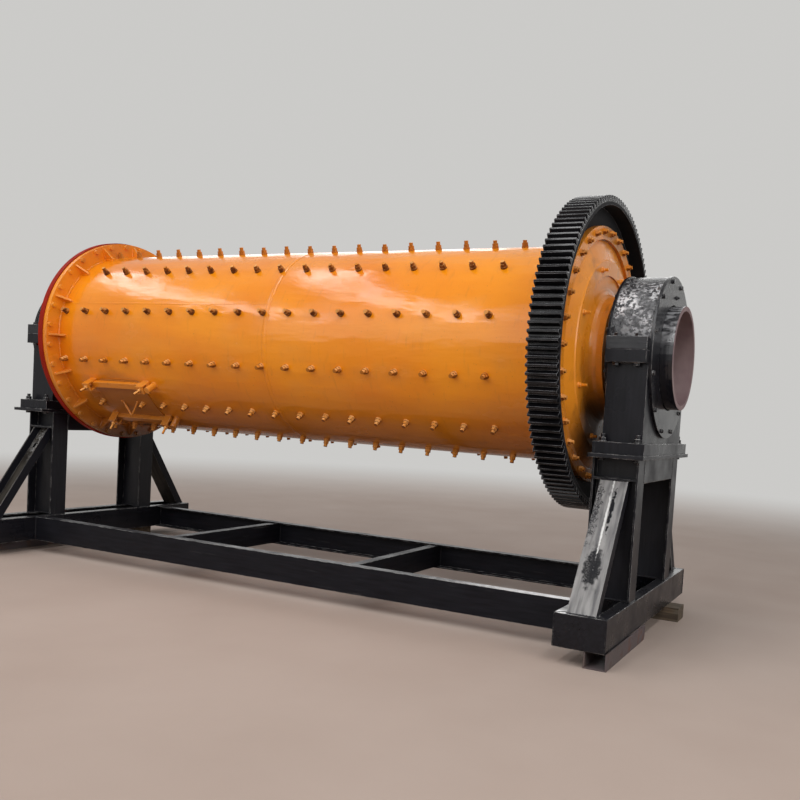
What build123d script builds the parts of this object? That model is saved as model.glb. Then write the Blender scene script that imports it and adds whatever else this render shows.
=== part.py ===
from build123d import *
from math import atan2, cos, pi, radians, sin, tan
import os

# Ball mill on a welded skid frame, in millimetres.
# X runs along the mill axis from the feed end to the geared discharge end, Z is up, and the
# origin is on the floor under the middle of the mill. The camera side of the mill is at -Y.

# Shell and its end flanges
shell_length = 4450
shell_radius = 750
shell_wall = 16
flange_radius = shell_radius + 120
flange_thickness = 40

# Gussets between each end flange and the shell
gusset_count = 16
gusset_length = 85
gusset_thickness = 14
gusset_edge_gap = 18
gusset_toe = 14
gusset_turns = {"feed": 1.6, "discharge": 5.6}

# Hollow trunnions
trunnion_radius = 345
trunnion_wall = 30
trunnion_overhang = 234
trunnion_seat = 96

# Heads: flange, groove, dished plate, raised liner-bolt ring and hub
head_flange_radius = flange_radius + 8
head_flange_thickness = 45
head_groove_radius = shell_radius + 40
head_groove_depth = 25
head_ring_outer_radius = shell_radius - 93
head_ring_inner_radius = shell_radius - 201
head_ring_height = 74
head_ring_bevel = 8
head_face_height = 62
head_plate_thickness = 38
head_seat_radius = shell_radius - 30
head_seat_slope = 103
head_hub_radius = trunnion_radius + 60
head_hub_end = 168
head_hub_fillet = 62

# Girth gear, a spur gear that overhangs both faces of its web
gear_module = 16
gear_teeth = round(2 * (shell_radius + 306) / gear_module)
gear_face_width = 200
gear_rim_thickness = 28
gear_web_thickness = 30
gear_outer_face_gap = 60
gear_bore_radius = shell_radius + 16
pressure_angle = 20
tooth_backlash = 0.6

# Trunnion bearings: split housing, roller bearing and end covers
bearing_offset = 25
housing_bore_radius = trunnion_radius + 115
housing_radius = housing_bore_radius + 74
housing_width = 260
housing_body_half_width = 540
split_flange_half_width = 605
split_flange_thickness = 80
seat_flange_half_width = 625
seat_flange_width = 330
seat_flange_thickness = 73
seat_depth = 650
roller_bearing_width = 200
running_clearance = 0.4
cover_radius = housing_radius + 6
cover_thickness = 20
cover_clearance = 7

# Portal supports, each with its bearing offset outwards from its middle, and braces at each end
# that are open outwards or inwards
portal_to_shell = 385
top_plate_half_width = 675
top_plate_width = 350
top_plate_thickness = 25
column_height = 905
column_outer_half_width = 560
column_breadth = 150
column_depth = 300
column_flange = 12
column_web = 8
header_depth = 155
header_flange_width = 62
header_web = 8
brace_width = 180
brace_depth = 70
brace_web = 10
brace_drop = 140
brace_foot_inset = 15
stiffener_thickness = 12
slot_length = 56
slot_width = 28
slot_from_top = 150
slot_half_spacing = 34
brace_open_outward = {"feed": True, "discharge": False}

# Skids and the base frame, all of one channel section
channel_height = 200
channel_flange_width = 75
channel_web = 9
channel_flange = 11
skid_width = 320
skid_half_length = 1065
beam_half_spacing = 700
cross_member_places = (-975, 735)

# Packers between the skids and the floor
foot_height = 100
foot_width = 140
foot_wall = 9
foot_length = 880
foot_overhang = 14
timber_length = 330
timber_width = 190
timber_overhang = 100
timber_place = 560

# Manhole in the shell, with its cover, clamp bars, brackets and lifting handle
manhole_from_feed_end = 645
manhole_angle = -45.5
manhole_length = 520
manhole_width = 430
manhole_corner_radius = 66
manhole_cover_gap = 2
manhole_cover_thickness = 24
manhole_lip = 22
clamp_spread = 28
clamp_length = 670
clamp_bar_width = 46
clamp_bar_thickness = 36
bracket_length = 72
bracket_height = 92
bracket_plate = 10
bracket_bar_gap = 1
clamp_bolt_radius = 9
clamp_bolt_length = 66
post_radius = 26
post_length = 90
post_gap = 12
handle_span = 170
handle_reach = 65
handle_drop = 93
handle_rod_radius = 8

# Places that follow from the sizes above
skid_top = foot_height + channel_height
column_top = skid_top + column_height
seat_height = column_top + top_plate_thickness
axis_height = seat_height + seat_depth
shell_end = shell_length / 2
manhole_place = manhole_from_feed_end - shell_end
portal_place = shell_end + portal_to_shell
bearing_place = portal_place + bearing_offset
trunnion_bore_radius = trunnion_radius - trunnion_wall
trunnion_end = bearing_place + trunnion_overhang
gear_web_outer_face = shell_end + gear_web_thickness
gear_outer_face = gear_web_outer_face + head_flange_thickness + gear_outer_face_gap
gear_inner_face = gear_outer_face - gear_face_width
gear_pitch_radius = gear_module * gear_teeth / 2
gear_tip_radius = gear_pitch_radius + gear_module
gear_root_radius = gear_pitch_radius - 1.25 * gear_module
gear_rim_inner_radius = gear_root_radius - gear_rim_thickness
beam_end = portal_place - skid_width / 2
column_inner_half_width = column_outer_half_width - column_breadth
column_middle = column_outer_half_width - column_breadth / 2
column_web_face = column_middle + column_web / 2
brace_top = column_top - brace_drop
ENDS = {"feed": -1, "discharge": 1}

os.makedirs("parts", exist_ok=True)


def save(shape, node):
    export_step(shape, f"parts/{node}.step")


def on_axis(shape):
    """Lifts a shape made about the X axis up to the mill axis."""
    return Pos(0, 0, axis_height) * shape


def turned(profile):
    """Solid of revolution about the mill axis from (x, radius) points."""
    outline = make_face(Polyline(*profile, close=True))
    return on_axis(revolve(Plane.XZ * outline, axis=Axis.X))


def ring(low_x, high_x, inner_radius, outer_radius):
    return turned([(low_x, inner_radius), (high_x, inner_radius), (high_x, outer_radius), (low_x, outer_radius)])


def block(x_range, y_range, z_range):
    """Box between two corners, given as its range along each axis."""
    size = [high - low for low, high in (x_range, y_range, z_range)]
    centre = [(high + low) / 2 for low, high in (x_range, y_range, z_range)]
    return Pos(*centre) * Box(*size)


def span(*values):
    """A range in rising order."""
    return min(values), max(values)


def prism_along_x(points, low_x, high_x):
    """Prism with a (y, z) outline between two places along X."""
    outline = make_face(Polyline(*points, close=True))
    return extrude(Plane.YZ.offset(low_x) * outline, amount=high_x - low_x)


def solids_only(shape):
    """Keeps the separate solids of a result as one compound."""
    found = shape.solids()
    return found[0] if len(found) == 1 else Compound(children=list(found))


def around_axis(shape, angle):
    """Turns a piece made on the -Y side of the axis to an angle above that side."""
    return on_axis(Rot(-angle, 0, 0) * shape)


def manhole_plug(growth):
    """Block through the shell wall at the manhole, larger than the hole by a growth on every side."""
    half_length, half_width = manhole_length / 2 + growth, manhole_width / 2 + growth
    plug = block((-half_length, half_length), (-flange_radius, -shell_radius / 2), (-half_width, half_width))
    rounded = fillet(plug.edges().filter_by(Axis.Y), manhole_corner_radius + growth)
    return around_axis(Pos(manhole_place, 0, 0) * rounded, manhole_angle)


# Shell: a rolled tube with the manhole cut through it, and a bolting flange at each end
def make_shell():
    tube = ring(-shell_end, shell_end, shell_radius - shell_wall, shell_radius)
    save(solids_only(tube - manhole_plug(0)), "shell")
    for end, side in ENDS.items():
        low_x, high_x = span(side * shell_end, side * (shell_end - flange_thickness))
        save(ring(low_x, high_x, shell_radius, flange_radius), f"{end}_shell_flange")


# Gussets: triangular ribs in the corner between flange and shell
def make_gussets():
    foot = shell_radius
    tip = flange_radius - gusset_edge_gap
    for end, side in ENDS.items():
        back = side * (shell_end - flange_thickness)
        toe = back - side * gusset_length
        outline = [(back, foot), (back, tip), (back - side * gusset_toe, tip), (toe, foot + gusset_toe), (toe, foot)]
        profile = make_face(Polyline(*outline, close=True))
        rib = extrude(Plane.XZ.offset(-gusset_thickness / 2) * profile, amount=gusset_thickness)
        rib = rib - Rot(0, 90, 0) * Cylinder(shell_radius, 3 * shell_length)
        ribs = [Rot(gusset_turns[end] + 360 * i / gusset_count, 0, 0) * rib for i in range(gusset_count)]
        save(on_axis(Compound(children=ribs)), f"{end}_flange_gussets")


# Heads: cast end plates with a bolting flange, a dished plate and a hub around the trunnion
def make_head(end, side, joint):
    corner = (head_face_height, head_hub_radius)
    arc = [(corner[0] + head_hub_fillet * (1 - sin(radians(a))), corner[1] + head_hub_fillet * (1 - cos(radians(a))))
           for a in (90, 67.5, 45, 22.5, 0)]
    profile = [
        (0, head_flange_radius),
        (head_flange_thickness, head_flange_radius),
        (head_flange_thickness, head_groove_radius),
        (head_flange_thickness - head_groove_depth, head_groove_radius),
        (head_ring_height - head_ring_bevel, head_ring_outer_radius),
        (head_ring_height, head_ring_outer_radius - head_ring_bevel),
        (head_ring_height, head_ring_inner_radius),
        (head_face_height, head_ring_inner_radius),
        *arc,
        (head_hub_end, head_hub_radius),
        (head_hub_end, trunnion_radius),
        (trunnion_seat, trunnion_radius),
        (trunnion_seat, trunnion_bore_radius),
        (head_ring_height - head_plate_thickness, trunnion_bore_radius),
        (head_ring_height - head_plate_thickness, head_seat_radius - head_seat_slope),
        (0, head_seat_radius),
    ]
    save(turned([(side * (joint + a), r) for a, r in profile]), f"{end}_head")


# Trunnions: hollow shafts seated in the heads and carried by the bearings
def make_trunnion(end, side, joint):
    low_x, high_x = span(side * (joint + trunnion_seat), side * trunnion_end)
    save(ring(low_x, high_x, trunnion_bore_radius, trunnion_radius), f"{end}_trunnion")


# Girth gear: toothed rim on a web ring that is clamped between shell flange and head
def make_gear():
    half_pitch_angle = pi / 2 / gear_teeth - tooth_backlash / 2 / gear_pitch_radius
    outline = []
    for tooth in range(gear_teeth):
        middle = 2 * pi * tooth / gear_teeth
        for radius, turn in ((gear_root_radius, -1), (gear_tip_radius, -1), (gear_tip_radius, 1), (gear_root_radius, 1)):
            lean = (radius - gear_pitch_radius) * tan(radians(pressure_angle)) / radius
            angle = middle + turn * (half_pitch_angle - lean)
            outline.append((radius * cos(angle), radius * sin(angle)))
    rim = on_axis(prism_along_x(outline, gear_inner_face, gear_outer_face))
    rim = rim - ring(gear_inner_face - 1, gear_outer_face + 1, 0, gear_rim_inner_radius)
    web = ring(shell_end, gear_web_outer_face, gear_bore_radius, gear_rim_inner_radius + 5)
    save(solids_only(rim + web), "girth_gear")


# Manhole: a cover seated in the hole, with two clamp bars across it and a rod handle
def make_manhole():
    cover_shell = ring(manhole_place - shell_radius, manhole_place + shell_radius,
                       shell_radius - shell_wall, shell_radius - shell_wall + manhole_cover_thickness)
    cover = cover_shell & manhole_plug(-manhole_cover_gap)
    lip_shell = ring(manhole_place - shell_radius, manhole_place + shell_radius,
                     shell_radius - shell_wall - manhole_cover_thickness, shell_radius - shell_wall)
    lip = lip_shell & manhole_plug(manhole_lip)
    save(solids_only(cover + lip), "manhole_cover")


def make_clamps():
    """Two bars on the cover, each held at both ends by a U bracket welded to the shell and a bolt."""
    cover_face = shell_radius - shell_wall + manhole_cover_thickness
    bar_face = cover_face + clamp_bar_thickness
    bracket_face = shell_radius + bracket_height
    half_gap = clamp_bar_width / 2 + bracket_bar_gap
    half_bracket = half_gap + bracket_plate
    bolt_end = bracket_face + clamp_bolt_length
    middle = clamp_length / 2 - bracket_length / 2
    shell_core = Rot(0, 90, 0) * Cylinder(shell_radius, 2 * clamp_length)
    outwards = Rot(90, 0, 0)

    bar = block((-clamp_length / 2, clamp_length / 2), (-bar_face, -cover_face), (-clamp_bar_width / 2, clamp_bar_width / 2))
    bars, brackets, bolts, posts = [bar], [], [], []
    for side in (-1, 1):
        wide = (side * middle - bracket_length / 2, side * middle + bracket_length / 2)
        bolt = Pos(side * middle, 0, 0) * outwards * Cylinder(
            clamp_bolt_radius, bolt_end - bar_face, align=(Align.CENTER, Align.CENTER, Align.MIN))
        bolt = Pos(0, -bar_face, 0) * bolt
        bracket = block(wide, (-bracket_face, -shell_radius / 2), (-half_bracket, half_bracket))
        bracket = bracket - block((wide[0] - 1, wide[1] + 1), (bracket_plate - bracket_face, 0), (-half_gap, half_gap))
        brackets.append((bracket - shell_core) - bolt)
        bolts.append(bolt)
    post = Pos(clamp_length / 2 + post_gap + post_radius, -shell_radius / 2, 0) * outwards * Cylinder(
        post_radius, shell_radius / 2 + post_length, align=(Align.CENTER, Align.CENTER, Align.MIN))
    posts.append(post - shell_core)

    for pieces, node in ((bars, "manhole_clamp_bars"), (brackets, "manhole_clamp_brackets"),
                         (bolts, "manhole_clamp_bolts"), (posts, "manhole_posts")):
        placed = [around_axis(Pos(manhole_place, 0, 0) * piece, manhole_angle + way * clamp_spread / 2)
                  for way in (-1, 1) for piece in pieces]
        save(Compound(children=[solid for shape in placed for solid in shape.solids()]), node)


def rod(start, end, radius):
    """Round bar from one point to another."""
    run = Vector(*end) - Vector(*start)
    bar = Cylinder(radius, run.length, align=(Align.CENTER, Align.CENTER, Align.MIN))
    return Plane(origin=start, z_dir=run) * bar


def make_handle():
    """Rod bent to a V, welded to the cover by its ends and hanging down from them."""
    cover_face = shell_radius - shell_wall + manhole_cover_thickness
    bend = (0, -cover_face - handle_reach, -handle_drop)
    handle = Pos(*bend) * Sphere(handle_rod_radius)
    for side in (-1, 1):
        weld = (side * handle_span / 2, -cover_face + handle_rod_radius, handle_rod_radius)
        handle = handle + rod(bend, weld, handle_rod_radius)
    handle = handle - Rot(0, 90, 0) * Cylinder(cover_face, 2 * handle_span)
    save(solids_only(around_axis(Pos(manhole_place, 0, 0) * handle, manhole_angle)), "manhole_handle")


# Bearings: split housing with flanges at the joint, a seat flange, a roller bearing and covers
def make_bearing(end, side):
    place = side * bearing_place
    wide = (place - housing_width / 2, place + housing_width / 2)
    body_bottom = axis_height - seat_depth + seat_flange_thickness
    bore = ring(wide[0] - 1, wide[1] + 1, 0, housing_bore_radius)

    body = block(wide, (-housing_body_half_width, housing_body_half_width), (body_bottom, axis_height))
    lugs = block(wide, (-split_flange_half_width, split_flange_half_width),
                 (axis_height - split_flange_thickness, axis_height))
    seat = block((place - seat_flange_width / 2, place + seat_flange_width / 2),
                 (-seat_flange_half_width, seat_flange_half_width), (seat_height, body_bottom))
    save(solids_only(body + lugs + seat - bore), f"{end}_bearing_base")

    barrel = ring(*wide, 0, housing_radius)
    upper_lugs = block(wide, (-split_flange_half_width, split_flange_half_width),
                       (axis_height, axis_height + split_flange_thickness))
    upper_half = block(wide, (-housing_radius, housing_radius), (axis_height, axis_height + housing_radius))
    save(solids_only((barrel & upper_half) + upper_lugs - bore), f"{end}_bearing_cap")

    save(ring(place - roller_bearing_width / 2, place + roller_bearing_width / 2,
              trunnion_radius + running_clearance, housing_bore_radius), f"{end}_roller_bearing")

    covers = [ring(*span(place + face * housing_width / 2, place + face * (housing_width / 2 + cover_thickness)),
                   trunnion_radius + cover_clearance, cover_radius) for face in (-1, 1)]
    save(Compound(children=covers), f"{end}_bearing_covers")


# Portals: two H-section columns with stiffeners over the braces, a boxed header, a top plate and raking braces
def make_portal(end, side):
    place = side * portal_place
    half_depth = column_depth / 2
    for name, way in (("front", -1), ("rear", 1)):
        near, far = way * column_inner_half_width, way * column_outer_half_width
        middle = (near + far) / 2
        flanges = [block(span(place + face * half_depth, place + face * (half_depth - column_flange)),
                         span(near, far), (skid_top, column_top)) for face in (-1, 1)]
        web = block((place - half_depth, place + half_depth), (middle - column_web / 2, middle + column_web / 2),
                    (skid_top, column_top))
        stiffener = block((place - half_depth, place + half_depth), span(way * column_middle, far),
                          (brace_top, brace_top + stiffener_thickness))
        save(solids_only(flanges[0] + flanges[1] + web + stiffener), f"{end}_{name}_column")

    header = []
    for face in (-1, 1):
        outer = place + face * half_depth
        full = block(span(outer, outer - face * header_flange_width),
                     (-column_inner_half_width, column_inner_half_width), (column_top - header_depth, column_top))
        hollow = block(span(outer - face * header_web, outer - face * (header_flange_width + 1)),
                       (-column_inner_half_width, column_inner_half_width),
                       (column_top - header_depth + header_web, column_top - header_web))
        header.append(full - hollow)
    save(Compound(children=[solids_only(piece) for piece in header]), f"{end}_header")

    plate = side * bearing_place
    save(block((plate - top_plate_width / 2, plate + top_plate_width / 2),
               (-top_plate_half_width, top_plate_half_width), (column_top, seat_height)), f"{end}_top_plate")


def make_braces(end, side, open_outward):
    """Channels that rake from under the column stiffeners down and out to the ends of the skid."""
    place = side * portal_place
    foot = skid_half_length - brace_foot_inset
    lean = atan2(foot - column_outer_half_width, brace_top - skid_top)
    root_rise = (column_outer_half_width - column_web_face) / tan(lean)

    def slab(outer_depth, inner_depth):
        """Outline between two depths behind the brace's outer face, plumb at the column and level on the skid."""
        outline = []
        for depth, flip in ((outer_depth, False), (inner_depth, True)):
            upper = (column_web_face, brace_top + root_rise - depth / sin(lean))
            lower = (foot - depth / cos(lean), skid_top)
            outline += [lower, upper] if flip else [upper, lower]
        return outline

    web_depths = (brace_depth - brace_web, brace_depth) if open_outward else (0, brace_web)
    half = brace_width / 2
    for name, way in (("front", -1), ("rear", 1)):
        def piece(depths, low_x, high_x):
            return prism_along_x([(way * y, z) for y, z in slab(*depths)], low_x, high_x)
        brace = piece(web_depths, place - half, place + half)
        brace = brace + piece((0, brace_depth), place - half, place - half + brace_web)
        brace = brace + piece((0, brace_depth), place + half - brace_web, place + half)
        brace = brace & block((place - half, place + half), span(way * column_web_face, way * foot), (skid_top, brace_top))
        if open_outward:
            down = Vector(0, way * sin(lean), -cos(lean))
            top = Vector(place, way * column_outer_half_width, brace_top)
            for offset in (-slot_half_spacing, slot_half_spacing):
                hole = Plane(origin=top + down * slot_from_top + Vector(offset, 0, 0), x_dir=down,
                             z_dir=Vector(0, way * cos(lean), sin(lean)))
                slot = extrude(hole * SlotOverall(slot_length, slot_width), amount=2 * brace_depth, both=True)
                brace = brace - slot
        save(solids_only(brace), f"{end}_{name}_brace")


# Skids: mitred rings of channel with their webs outward, lying across the mill
def make_skid(end, side):
    place = side * portal_place
    half = skid_width / 2
    low_z, high_z = foot_height, skid_top

    def slab(inset, low, high):
        return block((place - half + inset, place + half - inset),
                     (-skid_half_length + inset, skid_half_length - inset), (low, high))

    frame = slab(0, low_z, high_z) - slab(channel_web, low_z + channel_flange, high_z - channel_flange)
    frame = frame - slab(channel_flange_width, low_z - 1, high_z + 1)
    flange = channel_flange_width
    wedges = []
    for way in (-1, 1):
        corners = [(place - half, way * skid_half_length), (place + half, way * skid_half_length),
                   (place + half - flange, way * (skid_half_length - flange)),
                   (place - half + flange, way * (skid_half_length - flange))]
        outline = make_face(Polyline(*corners, close=True))
        wedge = extrude(outline, amount=high_z + 1, dir=(0, 0, 1))
        wedges.append(wedge)
    ends = [solids_only(frame & wedge) for wedge in wedges]
    sides = frame - wedges[0] - wedges[1]
    save(Compound(children=ends), f"{end}_skid_ends")
    save(Compound(children=list(sides.solids())), f"{end}_skid_sides")


# Base frame: front and rear channels between the skids, and two cross members
def make_base_frame():
    low_z, high_z = foot_height, skid_top
    for name, way in (("front", -1), ("rear", 1)):
        outer = way * beam_half_spacing
        full = block((-beam_end, beam_end), span(outer, outer - way * channel_flange_width), (low_z, high_z))
        hollow = block((-beam_end, beam_end),
                       span(outer - way * channel_web, outer - way * (channel_flange_width + 1)),
                       (low_z + channel_flange, high_z - channel_flange))
        save(solids_only(full - hollow), f"{name}_beam")

    reach = beam_half_spacing - channel_web
    low_z, high_z = low_z + channel_flange, high_z - channel_flange
    members = []
    for place in cross_member_places:
        full = block((place - channel_flange_width / 2, place + channel_flange_width / 2), (-reach, reach), (low_z, high_z))
        hollow = block((place - channel_flange_width / 2 - 1, place + channel_flange_width / 2 - channel_web),
                       (-reach, reach), (low_z + channel_flange, high_z - channel_flange))
        members.append(solids_only(full - hollow))
    save(Compound(children=members), "cross_members")


# Packers: channel feet under the front halves of the skids, timbers under the rear halves
def make_packers():
    feet, timbers = [], []
    for side in ENDS.values():
        outer = side * (portal_place + skid_width / 2 + foot_overhang)
        wide = span(outer, outer - side * foot_width)
        front = -skid_half_length + 5
        full = block(wide, (front, front + foot_length), (0, foot_height))
        hollow = block((wide[0] + foot_wall, wide[1] - foot_wall), (front - 1, front + foot_length + 1),
                       (foot_wall, foot_height + 1))
        feet.append(solids_only(full - hollow))
        outer = side * (portal_place + skid_width / 2 + timber_overhang)
        timbers.append(block(span(outer, outer - side * timber_length),
                             (timber_place - timber_width / 2, timber_place + timber_width / 2), (0, foot_height)))
    save(Compound(children=feet), "channel_feet")
    save(Compound(children=timbers), "timber_packers")


make_shell()
make_gussets()
make_head("feed", -1, shell_end)
make_head("discharge", 1, gear_web_outer_face)
make_trunnion("feed", -1, shell_end)
make_trunnion("discharge", 1, gear_web_outer_face)
make_gear()
make_manhole()
make_clamps()
make_handle()
for end, side in ENDS.items():
    make_bearing(end, side)
    make_portal(end, side)
    make_braces(end, side, brace_open_outward[end])
    make_skid(end, side)
make_base_frame()
make_packers()
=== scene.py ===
import math
import bmesh
import bpy
import numpy as np
from mathutils import Matrix


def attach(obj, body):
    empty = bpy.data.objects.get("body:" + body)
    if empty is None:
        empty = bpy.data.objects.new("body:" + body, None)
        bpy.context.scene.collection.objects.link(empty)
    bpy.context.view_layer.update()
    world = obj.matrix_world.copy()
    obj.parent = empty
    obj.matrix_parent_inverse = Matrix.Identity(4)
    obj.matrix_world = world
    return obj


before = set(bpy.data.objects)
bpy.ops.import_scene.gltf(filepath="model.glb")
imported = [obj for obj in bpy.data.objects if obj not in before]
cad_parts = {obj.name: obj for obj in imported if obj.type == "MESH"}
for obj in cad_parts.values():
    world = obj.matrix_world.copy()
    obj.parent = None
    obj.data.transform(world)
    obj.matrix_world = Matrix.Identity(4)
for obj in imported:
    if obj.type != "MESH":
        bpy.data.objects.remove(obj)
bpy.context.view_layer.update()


# Channel feet. Offcuts of steel channel that lie open side up on the floor under the front of
# each skid, still in the maker's purple-grey shop primer, with rust bleeding through it.
def add(tree, kind, sockets=None, **settings):
    """One shader node: the settings are its own, and the sockets take numbers, colours or outputs."""
    node = tree.nodes.new("ShaderNode" + kind)
    for name, value in settings.items():
        setattr(node, name, value)
    for socket, value in (sockets or {}).items():
        if isinstance(value, bpy.types.NodeSocket):
            tree.links.new(value, node.inputs[socket])
        else:
            node.inputs[socket].default_value = value
    return node


def graded(tree, value, low, high, least=0.0, most=1.0):
    """Number that goes evenly from the least to the most as the value goes from low to high, and
    stays there beyond them."""
    return add(tree, "MapRange", {"Value": value, "From Min": low, "From Max": high,
                                  "To Min": least, "To Max": most}).outputs[0]


def between(tree, mask, low, high):
    """Number that goes from low to high as the mask rises from 0 to 1."""
    return graded(tree, mask, 0.0, 1.0, low, high)


def blotches(tree, place, size, low, high, stretch=(1, 1, 1), detail=6.0):
    """Mask of noise, from 0 below the low level to 1 above the high one, with blotches of a size in
    metres that are drawn out by the stretch."""
    scaled = add(tree, "Mapping", {"Vector": place, "Scale": [1 / (size * s) for s in stretch]})
    noise = add(tree, "TexNoise", {"Vector": scaled.outputs[0], "Scale": 1.0, "Detail": detail})
    return graded(tree, noise.outputs[0], low, high)


def over(tree, mask, under, top):
    """Colour that goes from the under one to the top one as the mask rises."""
    return add(tree, "Mix", {0: mask, 6: under, 7: top}, data_type="RGBA").outputs[2]


def raised(tree, height, depth, below=None):
    """Normal of a surface that stands up by the depth in metres where the height map is 1."""
    sockets = {"Height": height, "Distance": depth, "Strength": 1.0}
    if below is not None:
        sockets["Normal"] = below
    return add(tree, "Bump", sockets).outputs[0]


def new_finish(name):
    """A new finish: the material, its node tree, its shader and the place on the mill in metres."""
    made = bpy.data.materials.new(name)
    made.use_nodes = True
    tree = made.node_tree
    return made, tree, tree.nodes["Principled BSDF"], add(tree, "TexCoord").outputs["Object"]


def paint(tree, shader, colour, roughness, normal):
    """Links the three maps to the shader."""
    for socket, value in (("Base Color", colour), ("Roughness", roughness), ("Normal", normal)):
        tree.links.new(value, shader.inputs[socket])


def dress(names, made):
    """Gives CAD nodes a finish."""
    for name in names:
        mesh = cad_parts[name].data
        mesh.materials.clear()
        mesh.materials.append(made)


PURPLE_PRIMER = (0.085, 0.062, 0.069, 1)
PALE_RUST = (0.17, 0.080, 0.045, 1)
FOOT_GRIME = (0.080, 0.066, 0.062, 1)
purple_primer, tree, shader, place = new_finish("purple_primer")
rust = blotches(tree, place, 0.09, 0.52, 0.72)
grime = blotches(tree, place, 0.35, 0.35, 0.75)
pitted = blotches(tree, place, 0.012, 0.3, 0.7)
paint(tree, shader, over(tree, grime, over(tree, rust, PURPLE_PRIMER, PALE_RUST), FOOT_GRIME),
      between(tree, rust, 0.55, 0.85), raised(tree, pitted, 0.0006))
dress(["channel_feet"], purple_primer)


# Timber packers. Short lengths of rough sawn softwood under the rear of each skid, grey with
# dust, with the grain along their length.
TIMBER_BROWN = (0.125, 0.085, 0.050, 1)
TIMBER_GREY = (0.128, 0.107, 0.080, 1)
TIMBER_SPLIT = (0.055, 0.038, 0.024, 1)
sawn_timber, tree, shader, place = new_finish("sawn_timber")
grain = blotches(tree, place, 0.02, 0.40, 0.62, stretch=(14, 1, 1), detail=8)
weathered = blotches(tree, place, 0.12, 0.4, 0.65)
paint(tree, shader, over(tree, grain, over(tree, weathered, TIMBER_BROWN, TIMBER_GREY), TIMBER_SPLIT),
      between(tree, weathered, 0.8, 0.95), raised(tree, grain, 0.002))
dress(["timber_packers"], sawn_timber)


# Skids and base frame. Hot rolled channel, cut, mitred and welded, then brushed with black
# enamel that is rubbed to bright steel along the edges, partly real wear and partly painted
# highlight, and dusty on its upper faces. Bright ovals on the front beam's discharge end and a skid
# corner are partly rubbed steel and partly painted reflection.
def worked(tree, operation, *numbers):
    """Result of a Math node's operation on its numbers."""
    return add(tree, "Math", dict(enumerate(numbers)), operation=operation).outputs[0]


def both(tree, first, second):
    """Product of two masks."""
    return worked(tree, "MULTIPLY", first, second)


def either(tree, first, second):
    """The greater of two masks."""
    return worked(tree, "MAXIMUM", first, second)


def component(tree, vector, axis):
    """One number of a vector: axis 0, 1 or 2."""
    return add(tree, "SeparateXYZ", {0: vector}).outputs[axis]


def length(tree, vector):
    """Length of a vector."""
    return add(tree, "VectorMath", {0: vector}, operation="LENGTH").outputs["Value"]


def eased(tree, radius):
    """Normal of the surface with its sharp edges rounded over a radius."""
    return add(tree, "Bevel", {"Radius": radius}, samples=6).outputs[0]


def rubbed_edges(tree, rounded, low, high):
    """Mask of sharp edges: one less the cosine between the flat face and the same face with its
    edges eased, cut between two levels."""
    flat = add(tree, "NewGeometry").outputs["Normal"]
    lean = add(tree, "VectorMath", {0: rounded, 1: flat}, operation="DOT_PRODUCT").outputs["Value"]
    return graded(tree, lean, 1 - low, 1 - high)


def upward(tree, low, high):
    """Mask of the faces that look up as the mill stands at rest: the upward part of the piece's own
    normal, cut between two levels."""
    return graded(tree, component(tree, add(tree, "TexCoord").outputs["Normal"], 2), low, high)


def patch(tree, place, centre, reach, ragged, size, core=0.75):
    """Mask of an oval about a centre, with a reach along each axis and an edge that noise of a size
    makes ragged: from 0 where the place, in shares of the reach and moved by the noise, is at 1, up
    to 1 where it is within the core."""
    shares = add(tree, "Mapping", {"Vector": place, "Location": [-c / r for c, r in zip(centre, reach)],
                                   "Scale": [1 / r for r in reach]}).outputs[0]
    shift = between(tree, blotches(tree, place, size, 0.2, 0.8), -ragged, ragged)
    return graded(tree, worked(tree, "ADD", length(tree, shares), shift), 1.0, core)


ENAMEL_THICK = (0.0056, 0.0056, 0.0078, 1)
ENAMEL_THIN = (0.0115, 0.0115, 0.0155, 1)
ENAMEL_SCUFF = (0.13, 0.128, 0.125, 1)
BARE_AND_LIT_STEEL = (0.45, 0.44, 0.43, 1)
REFLECTION_SILVER = (0.66, 0.66, 0.68, 1)
FLOOR_DUST = (0.105, 0.096, 0.092, 1)
RUBBED_AND_GLARE_BRIGHT = (0.84, 0.84, 0.85, 1)
ALONG_X, ALONG_Y, ALONG_Z = (12, 1, 1), (1, 12, 1), (1, 1, 12)


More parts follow.
